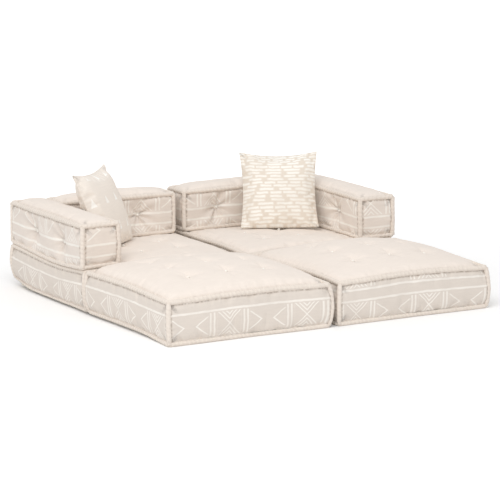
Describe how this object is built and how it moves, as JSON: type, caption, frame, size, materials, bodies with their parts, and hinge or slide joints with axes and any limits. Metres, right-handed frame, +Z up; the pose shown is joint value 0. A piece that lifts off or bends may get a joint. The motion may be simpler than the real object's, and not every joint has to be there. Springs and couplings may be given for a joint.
{
  "type": "modular sofa bed",
  "caption": "Low modular sofa bed of tufted floor mattresses with loose bolsters along its back and arms and throw pillows in its corners.",
  "frame": {"origin": "middle of the footprint, on the floor", "axes": "+X along the width of the sofa to the right hand of a viewer in front of it, +Y from its front to its back, +Z up"},
  "size_m": [1.8456, 1.8159, 0.6518],
  "materials": {
    "ticking": "woven cotton with a pale woven figure, matte",
    "bolster_ticking": "woven cotton with a pale woven figure, matte",
    "rolled_edge": "hand-stitched cotton roll, matte",
    "tuft_wool": "combed wool tuft with waxed cord",
    "filling": "foam and feather filling, matte",
    "pillow_cotton": "soft woven cotton, matte",
    "zip_tape": "woven zip tape",
    "zip_metal": "nickel-plated zip slider"
  },
  "bodies": {
    "rear_left": {"rear_left_cover": "ticking", "rear_left_core": "filling", "rear_left_edge_rolls": "rolled_edge", "rear_left_tufts": "tuft_wool"},
    "rear_right": {"rear_right_cover": "ticking", "rear_right_core": "filling", "rear_right_edge_rolls": "rolled_edge", "rear_right_tufts": "tuft_wool"},
    "front_left": {"front_left_cover": "ticking", "front_left_core": "filling", "front_left_edge_rolls": "rolled_edge", "front_left_tufts": "tuft_wool"},
    "front_right": {"front_right_cover": "ticking", "front_right_core": "filling", "front_right_edge_rolls": "rolled_edge", "front_right_tufts": "tuft_wool"},
    "back_left": {"back_left_cover": "bolster_ticking", "back_left_core": "filling", "back_left_edge_rolls": "rolled_edge", "back_left_tufts": "tuft_wool"},
    "back_right": {"back_right_cover": "bolster_ticking", "back_right_core": "filling", "back_right_edge_rolls": "rolled_edge", "back_right_tufts": "tuft_wool"},
    "arm_left": {"arm_left_cover": "bolster_ticking", "arm_left_core": "filling", "arm_left_edge_rolls": "rolled_edge", "arm_left_tufts": "tuft_wool"},
    "arm_right": {"arm_right_cover": "bolster_ticking", "arm_right_core": "filling", "arm_right_edge_rolls": "rolled_edge", "arm_right_tufts": "tuft_wool"},
    "pillow_left": {"pillow_left_cover": "pillow_cotton", "pillow_left_pad": "filling", "pillow_left_zip_tape": "zip_tape"},
    "pillow_left_slider": {"pillow_left_zip_slider": "zip_metal"},
    "pillow_right": {"pillow_right_cover": "pillow_cotton", "pillow_right_pad": "filling", "pillow_right_zip_tape": "zip_tape"},
    "pillow_right_slider": {"pillow_right_zip_slider": "zip_metal"}
  },
  "joints": [
    {"name": "right_pair_slide", "type": "slide", "parent": "rear_left", "child": "rear_right", "axis": [1, 0, 0], "range_m": [0, 0.4]},
    {"name": "front_left_slide", "type": "slide", "parent": "rear_left", "child": "front_left", "axis": [0, -1, 0], "range_m": [0, 0.5]},
    {"name": "front_right_slide", "type": "slide", "parent": "rear_right", "child": "front_right", "axis": [0, -1, 0], "range_m": [0, 0.5]},
    {"name": "back_left_lift", "type": "slide", "parent": "rear_left", "child": "back_left", "axis": [0, 0, 1], "range_m": [0, 0.3]},
    {"name": "arm_left_lift", "type": "slide", "parent": "rear_left", "child": "arm_left", "axis": [0, 0, 1], "range_m": [0, 0.3]},
    {"name": "back_right_lift", "type": "slide", "parent": "rear_right", "child": "back_right", "axis": [0, 0, 1], "range_m": [0, 0.3]},
    {"name": "arm_right_lift", "type": "slide", "parent": "rear_right", "child": "arm_right", "axis": [0, 0, 1], "range_m": [0, 0.3]},
    {"name": "pillow_left_lift", "type": "slide", "parent": "arm_left", "child": "pillow_left", "axis": [0, 0, 1], "range_m": [0, 0.3]},
    {"name": "pillow_right_lift", "type": "slide", "parent": "arm_right", "child": "pillow_right", "axis": [0, 0, 1], "range_m": [0, 0.3]},
    {"name": "pillow_left_zip", "type": "slide", "parent": "pillow_left", "child": "pillow_left_slider", "axis": [-0.7547, -0.6561, 0], "range_m": [0, 0.25]},
    {"name": "pillow_right_zip", "type": "slide", "parent": "pillow_right", "child": "pillow_right_slider", "axis": [0.891, -0.454, 0], "range_m": [0, 0.25]}
  ]
}
